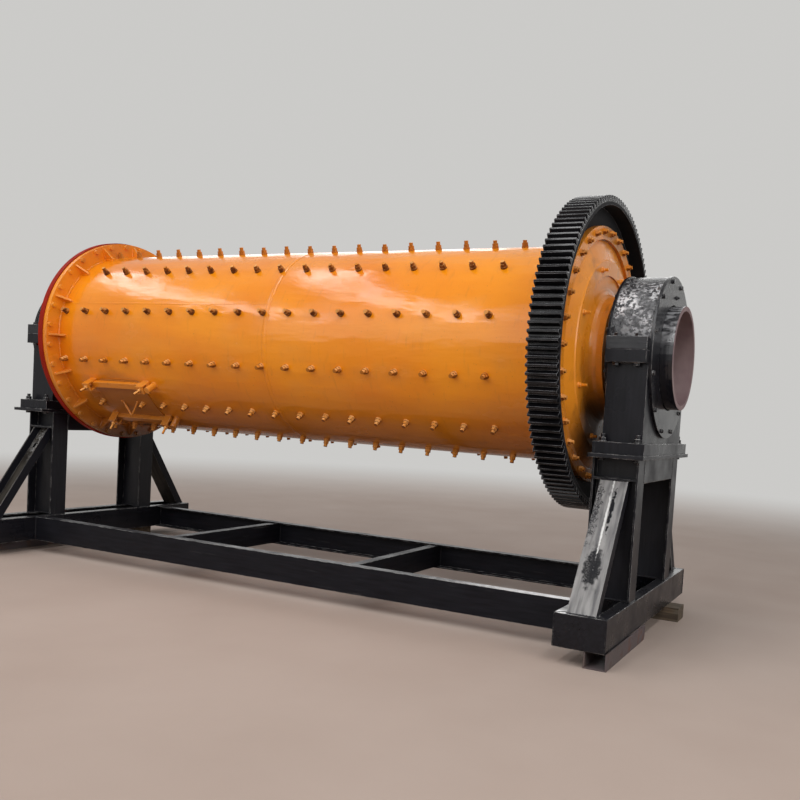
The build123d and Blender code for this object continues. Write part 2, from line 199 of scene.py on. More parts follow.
def black_enamel(name, strokes_run, scuffed, dusty, gloss, lumps, shine=0.25, reflection_flecked=None, edge=0.005,
                 trodden_and_glare=None):
    """Brushed black enamel: strokes along one way, edges and scuffs down to steel, dust on top and, if
    asked, silvery flecks of painted reflection in patches where it looks up, most in an oval with a
    centre and reach. scuffed is the share that is scuffed, gloss the least roughness, lumps the height
    of the skin and edge the radius of its edges; the steel on the edges is partly real wear and partly
    painted highlight. One given a worn oval is rubbed bright on top there, in an oval too, partly real
    wear and partly painted reflection."""
    made, tree, shader, place = new_finish(name)
    strokes = blotches(tree, place, 0.02, 0.3, 0.7, stretch=strokes_run, detail=4)
    rounded = eased(tree, edge)
    # bare steel on the edges, partly real wear and partly painted highlight
    bald_and_lit_edges = both(tree, blotches(tree, place, 0.07, 0.43, 0.57, detail=8),
                rubbed_edges(tree, rounded, 0.03, 0.2))
    scuff = blotches(tree, place, 0.05, 0.74 - scuffed, 0.92 - scuffed, stretch=strokes_run, detail=10)
    settled = both(tree, upward(tree, 0.5, 0.95), blotches(tree, place, 0.3, 0.3, 0.75))
    dust = both(tree, settled, between(tree, strokes, dusty, 0.4 * dusty))
    coats = over(tree, strokes, ENAMEL_THICK, ENAMEL_THIN)
    painted = over(tree, both(tree, scuff, strokes), coats, ENAMEL_SCUFF)
    # painted reflection: silvery flecks on faces that look up
    if reflection_flecked:
        reflection_patches = either(tree, blotches(tree, place, 0.13, 0.48, 0.64),
                        patch(tree, place, *reflection_flecked, 0.9, 0.05, 0.3))
        flecks = both(tree, blotches(tree, place, 0.022, 0.46, 0.54, detail=8),
                      between(tree, reflection_patches, 0.09, 0.95))
        painted = over(tree, both(tree, upward(tree, 0.1, 0.45), flecks), painted, REFLECTION_SILVER)
    thick = between(tree, upward(tree, 0.0, 0.35), 0.08, 1.0)
    lumpy = raised(tree, both(tree, thick, blotches(tree, place, 0.03, 0.2, 0.8)), lumps, rounded)
    coated = over(tree, dust, over(tree, bald_and_lit_edges, painted, BARE_AND_LIT_STEEL), FLOOR_DUST)
    # a bright oval on top faces, partly rubbed steel and partly painted reflection
    if trodden_and_glare:
        bright = both(tree, upward(tree, 0.6, 0.9), patch(tree, place, *trodden_and_glare, 0.25, 0.05, 0.1))
        coated = over(tree, bright, coated, RUBBED_AND_GLARE_BRIGHT)
    paint(tree, shader, coated, between(tree, blotches(tree, place, 0.2, 0.3, 0.7), gloss, gloss + 0.22),
          raised(tree, strokes, 0.0003, lumpy))
    shader.inputs["Specular IOR Level"].default_value = shine
    return made


# ovals of rubbed steel and painted reflection on the front beam's discharge end and a skid corner
BEAM_END_GLARE_TOP = ((2.45, -0.665, 0.30), (1.05, 0.20, 0.20))
SKID_CORNER_GLARE_TOP = ((2.47, -1.06, 0.30), (0.14, 0.15, 0.10))
beam_enamel = black_enamel("beam_enamel", ALONG_X, scuffed=0.10, dusty=0.08, gloss=0.32, lumps=0.0008,
                           shine=0.13, edge=0.007, trodden_and_glare=BEAM_END_GLARE_TOP)
cross_enamel = black_enamel("cross_enamel", ALONG_Y, scuffed=0.10, dusty=0.06, gloss=0.36, lumps=0.0008,
                            shine=0.08)
skid_enamel = black_enamel("skid_enamel", ALONG_Y, scuffed=0.08, dusty=0.20, gloss=0.20, lumps=0.0008,
                           edge=0.008, trodden_and_glare=SKID_CORNER_GLARE_TOP)
dress(["front_beam", "rear_beam"], beam_enamel)
dress(["cross_members"], cross_enamel)
dress([f"{end}_skid_{part}" for end in ("feed", "discharge") for part in ("sides", "ends")], skid_enamel)


# Portals. H-section columns with a boxed header between them and a thick top plate, welded up,
# and raking channel braces, all in the same enamel. The silver and grey streaks on the sloping faces
# of the discharge braces are painted reflection, and the feed ones are grimy there.
BRACE_STEEL_AND_GLARE, BRACE_GLARE_GREY, BRACE_WHITE = (0.32, 0.315, 0.31, 1), (0.13, 0.128, 0.132, 1), (0.75, 0.75, 0.74, 1)
BRACE_GRIME, BRACE_DUST = (0.014, 0.012, 0.011, 1), (0.050, 0.044, 0.036, 1)
PORTAL_X, OUTWARD_LIMIT, OUTWARD_FADE, BOTH_BRACES = 2.61, 0.5, 0.1, 9.0
column_enamel = black_enamel("column_enamel", ALONG_Z, scuffed=0.06, dusty=0.2, gloss=0.28, lumps=0.0005)
plate_enamel = black_enamel("plate_enamel", ALONG_Y, scuffed=0.05, dusty=0.15, gloss=0.26, lumps=0.0008,
                            edge=0.007)
dress([f"{end}_{side}_column" for end in ("feed", "discharge") for side in ("front", "rear")], column_enamel)
dress([f"{end}_{part}" for end in ("feed", "discharge") for part in ("header", "top_plate")], plate_enamel)


def brace_finish(name, side, scraped_share, marked):
    """Black enamel with long streaks down the sloping outer face and plain on the sides. A marked
    brace has silver and grey streaks of painted reflection there, with a white run down its middle,
    dark drips beside it, and a speckled patch of tar below. Another is grimy, with chips near its top."""
    made, tree, shader, place = new_finish(name)

    def mark(across, height, wide, tall, ragged, size, core=0.75):
        """Oval mark on both of an end's braces, at a place across from their middle and a height."""
        return patch(tree, place, (side * PORTAL_X + across, 0, height), (wide, BOTH_BRACES, tall),
                     ragged, size, core)

    streaks = blotches(tree, place, 0.035, 0.35, 0.62, stretch=(1, 6, 9), detail=9)
    worn = blotches(tree, place, 0.16, 0.66 - scraped_share, 0.74 - scraped_share, stretch=(1, 1.6, 2.4),
                    detail=7)
    outward = worked(tree, "ABSOLUTE", component(tree, add(tree, "NewGeometry").outputs["Normal"], 1))
    sloping = graded(tree, outward, OUTWARD_LIMIT, OUTWARD_LIMIT + OUTWARD_FADE)
    if marked:
        # painted reflection: silver and grey streaks
        faced = over(tree, streaks, BRACE_GLARE_GREY, BRACE_STEEL_AND_GLARE)
        specks = blotches(tree, place, 0.007, 0.46, 0.54, detail=3)
        white_run = both(tree, mark(0.003, 0.85, 0.008, 0.27, 0.45, 0.02), between(tree, streaks, 0.7, 1.0))
        drips = mark(0.026, 0.88, 0.012, 0.14, 0.8, 0.02)
        tar = both(tree, mark(-0.006, 0.56, 0.060, 0.12, 0.35, 0.03),
                   between(tree, both(tree, specks, streaks), 1.0, 0.7))
        smuts = both(tree, mark(-0.085, 0.88, 0.045, 0.20, 0.6, 0.03), specks)
        for mask, colour in ((smuts, ENAMEL_THIN), (drips, ENAMEL_THICK), (tar, ENAMEL_THICK),
                             (white_run, BRACE_WHITE)):
            faced = over(tree, mask, faced, colour)
    else:
        chips = both(tree, blotches(tree, place, 0.016, 0.48, 0.56, detail=6),
                     mark(0.0, 0.95, 0.12, 0.17, 0.4, 0.04, core=0.3))
        faced = over(tree, chips, over(tree, streaks, BRACE_GRIME, BRACE_DUST), BRACE_STEEL_AND_GLARE)
    faced = over(tree, both(tree, worn, sloping), ENAMEL_THIN, faced)
    rounded = eased(tree, 0.005)
    # bare steel on the edges, partly real wear and partly painted highlight
    edges = both(tree, rubbed_edges(tree, rounded, 0.03, 0.2), streaks)
    paint(tree, shader, over(tree, edges, faced, BARE_AND_LIT_STEEL), between(tree, streaks, 0.28, 0.5),
          raised(tree, streaks, 0.0005, rounded))
    shader.inputs["Specular IOR Level"].default_value = 0.12
    return made


for end, side, scraped_share, marked in (("discharge", 1, 0.36, True), ("feed", -1, 0.40, False)):
    dress([f"{end}_front_brace", f"{end}_rear_brace"],
          brace_finish(f"{end}_brace_paint", side, scraped_share, marked))


# Frame welds. Hand-laid arc welds along every joint of the frame, brushed over with the enamel:
# fillets round the column feet, under the top plates and at the braces, flat runs on the mitres.
WELD_STEP, WELD_SIDES, WELD_INSET = 0.007, 8, 0.004
SWELL_EVEN, SWELL_TURN, SWELL_CHANCE = 0.16, 2.3, 0.14
FILLET, THIN_FILLET, FLAT_RUN, CORNER_RUN = (0.007, 0.007), (0.005, 0.005), (0.008, 0.002), (0.004, 0.003)
SKID_TOP, SKID_BOTTOM, SKID_HALF_WIDTH, SKID_HALF_LENGTH = 0.300, 0.100, 0.160, 1.065
COLUMN_TOP, COLUMN_HALF_DEPTH, COLUMN_NEAR, COLUMN_FAR = 1.205, 0.150, 0.410, 0.560
COLUMN_FLANGE, COLUMN_WEB, WEB_FACE, ROOT_ROOM = 0.012, 0.008, 0.489, 0.014
HEADER_WELD_FOOT, STIFFENER = 1.052, 0.012
BRACE_TOP, BRACE_FOOT, BRACE_SPREAD, BRACE_HALF_WIDTH = 1.065, 1.050, 0.083, 0.090
CHANNEL_FLANGE, BEAM_END, BEAM_FACE, BEAM_WEB = 0.075, 2.450, 0.700, 0.691
CROSS_MEMBERS, CROSS_HALF_WIDTH, CROSS_WELD_FOOT, CROSS_WELD_TOP = (-0.975, 0.735), 0.0375, 0.113, 0.287


def surface(name, points, faces, made, smooth=True):
    """Mesh object of points and faces, with doubled points merged and one finish."""
    mesh = bpy.data.meshes.new(name)
    mesh.from_pydata(np.asarray(points).tolist(), [], np.asarray(faces).tolist())
    work = bmesh.new()
    work.from_mesh(mesh)
    bmesh.ops.remove_doubles(work, verts=work.verts, dist=1e-6)
    bmesh.ops.recalc_face_normals(work, faces=work.faces)
    work.to_mesh(mesh)
    work.free()
    mesh.polygons.foreach_set("use_smooth", np.full(len(mesh.polygons), smooth))
    mesh.materials.append(made)
    piece = bpy.data.objects.new(name, mesh)
    bpy.context.scene.collection.objects.link(piece)
    return piece


def weld_runs(name, runs, made, seed):
    """Weld beads. Each run is its points, its outward direction and its half width and height. The
    bead is an oval carried along the points: point + half width x cosine across + height x sine
    outwards, swelling and shrinking from step to step, and closed to a point at both ends."""
    rng = np.random.default_rng(seed)
    turn = 2 * np.pi * np.arange(WELD_SIDES) / WELD_SIDES
    all_points, all_faces, start = [], [], 0
    for points, outward, (half_width, height) in runs:
        steps = np.arange(len(points))
        outward = np.broadcast_to(np.asarray(outward, float), points.shape)
        along = np.gradient(points, axis=0)
        across = np.cross(along, outward)
        across /= np.linalg.norm(across, axis=1)[:, None]
        uneven = rng.uniform(-SWELL_CHANCE, SWELL_CHANCE, len(points))
        swell = 1 + SWELL_EVEN * np.sin(steps * SWELL_TURN) + uneven
        swell[[0, -1]] = 0
        ring = (half_width * np.cos(turn)[None, :, None] * across[:, None, :]
                + height * np.sin(turn)[None, :, None] * outward[:, None, :])
        all_points.append((points[:, None, :] + swell[:, None, None] * ring).reshape(-1, 3))
        index = start + np.arange(len(points) * WELD_SIDES).reshape(len(points), WELD_SIDES)
        after = np.roll(index, -1, axis=1)
        all_faces.append(np.stack([index[:-1], after[:-1], after[1:], index[1:]], axis=-1).reshape(-1, 4))
        start += index.size
    return surface(name, np.concatenate(all_points), np.concatenate(all_faces), made)


def straight(start, end):
    """Points a weld step apart on the line from start to end."""
    start, end = np.asarray(start, float), np.asarray(end, float)
    count = max(4, round(np.linalg.norm(end - start) / WELD_STEP))
    return start + np.linspace(0, 1, count)[:, None] * (end - start)


def unit(*direction):
    """The direction at length 1."""
    return np.array(direction, float) / np.linalg.norm(direction)


def bead(start, end, outward, size):
    """A straight run of weld, which stands out along a direction."""
    return straight(start, end), unit(*outward), size


frame_runs = []
for end in (-1, 1):
    middle = end * PORTAL_X
    for face in (-1, 1):
        outer, inner = middle + face * COLUMN_HALF_DEPTH, middle + face * (COLUMN_HALF_DEPTH - COLUMN_FLANGE)
        side, edge = middle + face * SKID_HALF_WIDTH, middle + face * (SKID_HALF_WIDTH - CHANNEL_FLANGE)
        rib = middle + face * BRACE_HALF_WIDTH
        for way in (-1, 1):
            near, far = way * (COLUMN_NEAR + WELD_INSET), way * (COLUMN_FAR - WELD_INSET)
            for x, facing in ((outer, face), (inner, -face)):
                frame_runs += [bead((x, near, SKID_TOP), (x, far, SKID_TOP), (facing, 0, 1), FILLET),
                               bead((x, near, COLUMN_TOP), (x, far, COLUMN_TOP), (facing, 0, -1), FILLET)]
            column, web, shelf = way * COLUMN_NEAR, way * WEB_FACE, BRACE_TOP + STIFFENER
            foot, toe = way * BRACE_FOOT, way * (BRACE_FOOT - BRACE_SPREAD)
            tip, mitre = way * SKID_HALF_LENGTH, way * (SKID_HALF_LENGTH - CHANNEL_FLANGE)
            frame_runs += [
                bead((outer, column, HEADER_WELD_FOOT), (outer, column, COLUMN_TOP), (face, 0, 0), FLAT_RUN),
                bead((rib, foot, SKID_TOP), (rib, toe, SKID_TOP), (face, 0, 1), FILLET),
                bead((inner, web, shelf), (inner, far, shelf), (-face, 0, 1), FILLET),
                bead((side, tip, SKID_BOTTOM), (side, tip, SKID_TOP), (face, way, 0), CORNER_RUN),
                bead((side, tip, SKID_TOP), (edge, mitre, SKID_TOP), (0, 0, 1), FLAT_RUN)]
    low_rib, high_rib = middle - BRACE_HALF_WIDTH, middle + BRACE_HALF_WIDTH
    root = COLUMN_HALF_DEPTH - ROOT_ROOM
    beam_end = end * BEAM_END
    for way in (-1, 1):
        foot, column = way * BRACE_FOOT, way * COLUMN_FAR
        beam, lip = way * BEAM_FACE, way * (BEAM_FACE - CHANNEL_FLANGE)
        frame_runs += [
            bead((low_rib, foot, SKID_TOP), (high_rib, foot, SKID_TOP), (0, way, 1), FILLET),
            bead((low_rib, column, BRACE_TOP), (high_rib, column, BRACE_TOP), (0, way, -1), THIN_FILLET),
            bead((beam_end, beam, SKID_BOTTOM), (beam_end, beam, SKID_TOP), (-end, way, 0), FILLET),
            bead((beam_end, beam, SKID_TOP), (beam_end, lip, SKID_TOP), (0, 0, 1), FLAT_RUN)]
        for web, facing in ((way * WEB_FACE, way), (way * (WEB_FACE - COLUMN_WEB), -way)):
            frame_runs.append(bead((middle - root, web, SKID_TOP), (middle + root, web, SKID_TOP),
                                   (0, facing, 1), FILLET))
for member in CROSS_MEMBERS:
    for facing in (-1, 1):
        x = member + facing * CROSS_HALF_WIDTH
        for way in (-1, 1):
            frame_runs.append(bead((x, way * BEAM_WEB, CROSS_WELD_FOOT), (x, way * BEAM_WEB, CROSS_WELD_TOP),
                                   (facing, -way, 0), FILLET))
weld_enamel = black_enamel("weld_enamel", ALONG_Z, scuffed=0.12, dusty=0.3, gloss=0.26, lumps=0.0004)
frame_welds = weld_runs("frame_welds", frame_runs, weld_enamel, seed=3)
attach(frame_welds, "frame")


# Bearings. Iron castings in two halves with a turned cover plate on each face, in thick glossy
# black enamel over the rough cast skin, round a plain ring of ground bearing steel. The silvery
# flecks on the upper round of each cap are painted reflection.
# oval where the bearing caps carry painted reflection
REFLECTION_X, REFLECTION_Y, REFLECTION_Z, REFLECTION_REACH = 2.555, -0.43, 2.20, (0.13, 0.20, 0.13)
RING_DARK, RING_LIGHT = (0.42, 0.41, 0.40, 1), (0.55, 0.54, 0.53, 1)
for end, side in (("feed", -1), ("discharge", 1)):
    base_enamel = black_enamel(f"{end}_base_enamel", ALONG_Z, scuffed=0.06, dusty=0.3, gloss=0.20,
                               lumps=0.0016, shine=0.2)
    cap_enamel = black_enamel(f"{end}_cap_enamel", ALONG_X, scuffed=0.08, dusty=0.1, gloss=0.10,
                              lumps=0.0030, shine=0.4,
                              reflection_flecked=((side * REFLECTION_X, REFLECTION_Y, REFLECTION_Z), REFLECTION_REACH))
    cover_enamel = black_enamel(f"{end}_cover_enamel", ALONG_Z, scuffed=0.0, dusty=0.1, gloss=0.08,
                                lumps=0.0002, shine=0.28)
    dress([f"{end}_bearing_base"], base_enamel)
    dress([f"{end}_bearing_cap"], cap_enamel)
    dress([f"{end}_bearing_covers"], cover_enamel)

ground_steel, tree, shader, place = new_finish("ground_steel")
swirl = blotches(tree, place, 0.004, 0.3, 0.7, stretch=(1, 30, 30))
paint(tree, shader, over(tree, swirl, RING_DARK, RING_LIGHT), between(tree, swirl, 0.22, 0.4),
      raised(tree, swirl, 0.0001))
shader.inputs["Metallic"].default_value = 1.0
dress(["feed_roller_bearing", "discharge_roller_bearing"], ground_steel)


# Bearing bolts. Hexagon bolts hold the cover plates on, studs with nuts clamp the two halves
# and the seat to the top plate, and each cap and each outer cover has a small grease plug. The
# sizes of a bolt are those that the function for fasteners takes.
AXIS_HEIGHT = 1.88
BEARING_X, COVER_FACE, COVER_BOLT_RADIUS, COVER_BOLTS, COVER_START = 2.635, 0.150, 0.508, 12, 15
SPLIT_BOLT_X, SPLIT_BOLT_Y, SPLIT_TOP, SPLIT_UNDER = 0.067, 0.573, 1.960, 1.800
SEAT_BOLT_X, SEAT_BOLT_Y, SEAT_TOP, PLATE_UNDER = 0.112, 0.586, 1.303, 1.205
CAP_PLUG_X, CAP_PLUG_ANGLE, CAP_PLUG_RADIUS = 0.118, 49.5, 0.533
COVER_PLUG_ANGLE, COVER_PLUG_RADIUS = 93.0, 0.408
BOLT_SIDES, BOLT_ROOT, END_LEAST, END_MOST = 12, -0.004, 0.7, 1.15
COVER_BOLT = (0.016, 0.002, 0.0139, 0.010, 0.0139, 0.001)
SPLIT_BOLT = (0.026, 0.003, 0.0240, 0.017, 0.0130, 0.003)
SEAT_BOLT = (0.026, 0.005, 0.0240, 0.022, 0.0135, 0.030)
SEAT_HEAD = (0.022, 0.003, 0.0208, 0.015, 0.0200, 0.001)
GREASE_PLUG = (0.014, 0.004, 0.0110, 0.009, 0.0060, 0.008)


def fasteners(name, feet, outward, sizes, made, seed):
    """Hexagon bolts or nuts on washers. The sizes are washer radius and thickness, corner radius and
    height of the hexagon, radius and length of what stands out of it. Each is a stack of rings of 12
    points: foot + height x outward + radius x (cosine, sine), where every second point of a hexagon's
    ring comes in to the middle of its flat. Each is turned, and its end is cut, at random."""
    rng = np.random.default_rng(seed)
    feet, outward = np.asarray(feet, float), np.asarray(outward, float)
    washer, lift, corner, height, shank, proud = sizes
    count = len(feet)
    lengthwise = np.abs(outward[:, :1]) > 0.9
    side = np.cross(outward, np.where(lengthwise, [[0.0, 1.0, 0.0]], [[1.0, 0.0, 0.0]]))
    side /= np.linalg.norm(side, axis=1)[:, None]
    other = np.cross(outward, side)
    radii = np.array([0, washer, washer, corner, corner, shank, shank, 0])
    heights = np.array([BOLT_ROOT, BOLT_ROOT, lift, lift] + 4 * [lift + height])
    stands_out = np.array([0, 0, 0, 0, 0, 0, 1, 1])
    hexagonal = np.array([0, 0, 0, 1, 1, 0, 0, 0])
    step = np.arange(BOLT_SIDES)
    flat = np.where(step % 2 == 1, np.cos(np.pi / 6), 1.0)
    ring_radius = radii[:, None] * np.where(hexagonal[:, None] == 1, flat[None, :], 1.0)
    angle = 2 * np.pi * step / BOLT_SIDES + rng.uniform(0, np.pi / 3, (count, 1))
    cut = rng.uniform(END_LEAST, END_MOST, (count, 1))
    height_up = heights[None, :] + stands_out[None, :] * proud * cut
    round_foot = (np.cos(angle)[:, None, :, None] * side[:, None, None, :]
                  + np.sin(angle)[:, None, :, None] * other[:, None, None, :])
    points = (feet[:, None, None, :] + height_up[:, :, None, None] * outward[:, None, None, :]
              + ring_radius[None, :, :, None] * round_foot)
    index = np.arange(count * len(radii) * BOLT_SIDES).reshape(count, len(radii), BOLT_SIDES)
    after = np.roll(index, -1, axis=2)
    quads = np.stack([index[:, :-1], after[:, :-1], after[:, 1:], index[:, 1:]], axis=-1)
    return surface(name, points.reshape(-1, 3), quads.reshape(-1, 4), made, smooth=False)


def on_drum(x, angle, radius):
    """Points at places along the mill, at angles in degrees above its -Y side and at a radius."""
    turned = np.radians(angle)
    y, z = -radius * np.cos(turned), AXIS_HEIGHT + radius * np.sin(turned)
    return np.stack(np.broadcast_arrays(x, y, z), axis=-1)


def off_drum(angle):
    """Directions straight off the axis at angles in degrees above the -Y side."""
    turned = np.radians(angle)
    return np.stack(np.broadcast_arrays(0.0 * turned, -np.cos(turned), np.sin(turned)), axis=-1)


def at_corners(middle, aside, out, height):
    """Four places at a height, aside of a bearing's middle and out from it, one on each corner."""
    return np.array([[middle + dx * aside, dy * out, height] for dx in (-1, 1) for dy in (-1, 1)])


bolt_enamel = black_enamel("bolt_enamel", ALONG_Z, scuffed=0.04, dusty=0.2, gloss=0.25, lumps=0.0003,
                           shine=0.35)
clock = COVER_START + 360 / COVER_BOLTS * np.arange(COVER_BOLTS)
up, down = np.broadcast_to([0.0, 0, 1], (4, 3)), np.broadcast_to([0.0, 0, -1], (4, 3))
for end, side in (("feed", -1), ("discharge", 1)):
    middle = side * BEARING_X
    cover_feet = [on_drum(middle + face * COVER_FACE, clock, COVER_BOLT_RADIUS) for face in (-1, 1)]
    cover_ways = np.repeat([[-1.0, 0, 0], [1.0, 0, 0]], COVER_BOLTS, axis=0)
    plugs = np.stack([on_drum(middle + side * CAP_PLUG_X, CAP_PLUG_ANGLE, CAP_PLUG_RADIUS),
                      on_drum(middle + side * COVER_FACE, COVER_PLUG_ANGLE, COVER_PLUG_RADIUS)])
    plug_ways = np.stack([off_drum(CAP_PLUG_ANGLE), [float(side), 0, 0]])
    for kind, feet, ways, sizes in (
            ("cover_bolts", np.concatenate(cover_feet), cover_ways, COVER_BOLT),
            ("split_nuts", at_corners(middle, SPLIT_BOLT_X, SPLIT_BOLT_Y, SPLIT_TOP), up, SPLIT_BOLT),
            ("split_heads", at_corners(middle, SPLIT_BOLT_X, SPLIT_BOLT_Y, SPLIT_UNDER), down, SEAT_HEAD),
            ("seat_nuts", at_corners(middle, SEAT_BOLT_X, SEAT_BOLT_Y, SEAT_TOP), up, SEAT_BOLT),
            ("seat_heads", at_corners(middle, SEAT_BOLT_X, SEAT_BOLT_Y, PLATE_UNDER), down, SEAT_HEAD),
            ("grease_plugs", plugs, plug_ways, GREASE_PLUG)):
        piece = fasteners(f"{end}_{kind}", feet, ways, sizes, bolt_enamel, seed=20 + len(kind))
        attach(piece, "frame")


# Shell, flanges and discharge head. Rolled plate, cut rings and a cast end, welded and sprayed
# all over with glossy orange enamel, which is thin in places, stained and a little wavy. Its colour
# is darkened low down and in a few ovals as painted shade, the manhole cover is browned all over as
# painted shadow, and the cast pieces have a painted highlight along their edges.
ORANGE_THICK = (0.88, 0.290, 0.006, 1)
ORANGE_THIN = (0.74, 0.195, 0.005, 1)
ORANGE_DUSTY = (0.66, 0.270, 0.055, 1)
BROWN_STAIN = (0.20, 0.070, 0.018, 1)
UNDERSIDE_SHADE = (0.25, 0.085, 0.017, 1)
PAINTED_DARK_SHADE = (0.045, 0.024, 0.012, 1)
EDGE_HIGHLIGHT_CREAM = (0.95, 0.56, 0.20, 1)
SHADE_TOP, SHADE_FULL, DEEP_SHADE_TOP, DEEP_SHADE_FULL = 1.55, 1.18, 1.15, 1.02


def orange_enamel(name, wave, stained, gloss, dust=0.45, shade_browned=0.0, shade_ovals=(), edge_lit=False):
    """Sprayed orange enamel: thin and dusty clouds, brown stains and specks, and painted shade low down,
    over a plate with waves of a height. stained is how strong the stains are, gloss the least roughness
    and dust how strong the dust is. A browning, where given, darkens it all over as painted shadow;
    ovals of painted shade can be given, each with its centre, reach and strength; and the edges can
    be given a painted highlight."""
    made, tree, shader, place = new_finish(name)
    thin = blotches(tree, place, 0.7, 0.40, 0.70, stretch=(1.6, 1, 1))
    dusty = blotches(tree, place, 0.25, 0.50, 0.80, stretch=(2, 1, 1), detail=10)
    streaks = blotches(tree, place, 0.06, 0.58, 0.85, stretch=(0.6, 2.5, 2.5), detail=9)
    specks = blotches(tree, place, 0.012, 0.68, 0.76, detail=3)
    colour = over(tree, thin, ORANGE_THICK, ORANGE_THIN)
    colour = over(tree, between(tree, dusty, dust - 0.45, dust), colour, ORANGE_DUSTY)
    colour = over(tree, between(tree, streaks, 0.0, stained), colour, BROWN_STAIN)
    colour = over(tree, between(tree, specks, 0.0, 0.5), colour, BROWN_STAIN)
    # painted shadow: the browning darkens the whole piece
    if shade_browned:
        colour = over(tree, between(tree, thin, shade_browned, 0.8 * shade_browned), colour, BROWN_STAIN)
    # painted shade: the colour darkens towards the bottom of the mill, and more below the lowest level
    height = component(tree, place, 2)
    low_shade = both(tree, graded(tree, height, SHADE_TOP, SHADE_FULL, most=0.75),
                    between(tree, dusty, 0.9, 0.6))
    colour = over(tree, low_shade, colour, UNDERSIDE_SHADE)
    colour = over(tree, graded(tree, height, DEEP_SHADE_TOP, DEEP_SHADE_FULL, most=0.8), colour, PAINTED_DARK_SHADE)
    shine = between(tree, dusty, gloss, gloss + 0.30)
    # painted shade: each oval is darkened, and its roughness raised
    for centre, reach, strength in shade_ovals:
        grimy = between(tree, patch(tree, place, centre, reach, 0.45, 0.25, 0.35), 0.0, strength)
        colour = over(tree, grimy, colour, PAINTED_DARK_SHADE)
        shine = either(tree, shine, both(tree, grimy, 0.7))
    rounded = None
    # painted highlight: pale cream along the edges
    if edge_lit:
        rounded = eased(tree, 0.004)
        rubbed = both(tree, rubbed_edges(tree, rounded, 0.02, 0.2), blotches(tree, place, 0.06, 0.34, 0.48))
        colour = over(tree, between(tree, rubbed, 0.0, 0.6), colour, EDGE_HIGHLIGHT_CREAM)
    waves = blotches(tree, place, 0.45, 0.2, 0.8, stretch=(2.2, 1, 1), detail=2)
    dents = blotches(tree, place, 0.08, 0.35, 0.75, stretch=(4, 1, 1), detail=3)
    grit = blotches(tree, place, 0.006, 0.2, 0.8, detail=2)
    dented = raised(tree, dents, 0.22 * wave, raised(tree, waves, wave, rounded))
    paint(tree, shader, colour, shine, raised(tree, grit, 0.00003, dented))
    shader.inputs["Specular IOR Level"].default_value = 0.45
    return made


# ovals of painted shade: round the manhole, under the discharge hub and among the bolts on top of the head
# flange
MANHOLE_SHADE = ((-1.66, -0.60, 1.34), (0.46, 0.45, 0.27), 0.6)
UNDER_HUB_SHADE = ((2.36, -0.18, 1.42), (0.45, 0.38, 0.38), 0.78)
TOP_BOLTS_SHADE = ((2.28, 0.10, 2.73), (0.20, 0.50, 0.13), 0.55)
shell_orange = orange_enamel("shell_orange", wave=0.010, stained=0.25, gloss=0.14, shade_ovals=[MANHOLE_SHADE])
head_orange = orange_enamel("head_orange", wave=0.0020, stained=0.65, gloss=0.26, dust=0.75,
                            shade_ovals=[UNDER_HUB_SHADE, TOP_BOLTS_SHADE], edge_lit=True)
casting_orange = orange_enamel("casting_orange", wave=0.0020, stained=0.65, gloss=0.26, dust=0.6, edge_lit=True)
# the manhole cover's browning is painted shadow of the clamp bars
cover_orange = orange_enamel("cover_orange", wave=0.0020, stained=0.50, gloss=0.30, shade_browned=0.70)
dress(["shell"], shell_orange)
dress(["manhole_cover"], cover_orange)
dress(["discharge_head"], head_orange)
dress(["feed_shell_flange", "discharge_shell_flange", "feed_flange_gussets", "discharge_flange_gussets",
       "manhole_clamp_bars", "manhole_clamp_brackets", "manhole_posts", "manhole_handle"], casting_orange)


# Shell welds. Butt seams where the rolled plates of the shell meet, fillets round both flanges
# and along both sides of every gusset, all under the orange enamel.
SHELL_RADIUS, FLANGE_BACK, SHELL_SEAM = 0.750, 2.185, -0.042
SEAM_ANGLE, SEAM_TURN, SEAM_START, FLANGE_START, FULL_HOOP = 19.5, 150, 110, 200, 362
GUSSETS, GUSSET_PITCH, FEED_GUSSET, DISCHARGE_GUSSET = 16, 22.5, -1.6, -5.6
GUSSET_TOE, GUSSET_TIP, GUSSET_HALF, GUSSET_ROOT, TOE_ROOT = 2.100, 0.852, 0.007, 0.004, 0.001
FLANGE_FILLET, GUSSET_FILLET = (0.010, 0.010), (0.006, 0.006)
RING_SEAM, LONG_SEAM = (0.018, 0.0018), (0.007, 0.0003)


def hoop(x, start):
    """Points a weld step apart round the shell, from a start and a little over a full turn, with
    their angles."""
    count = max(4, round(np.radians(FULL_HOOP) * SHELL_RADIUS / WELD_STEP))
    angle = np.linspace(start, start + FULL_HOOP, count)
    return on_drum(x, angle, SHELL_RADIUS), angle


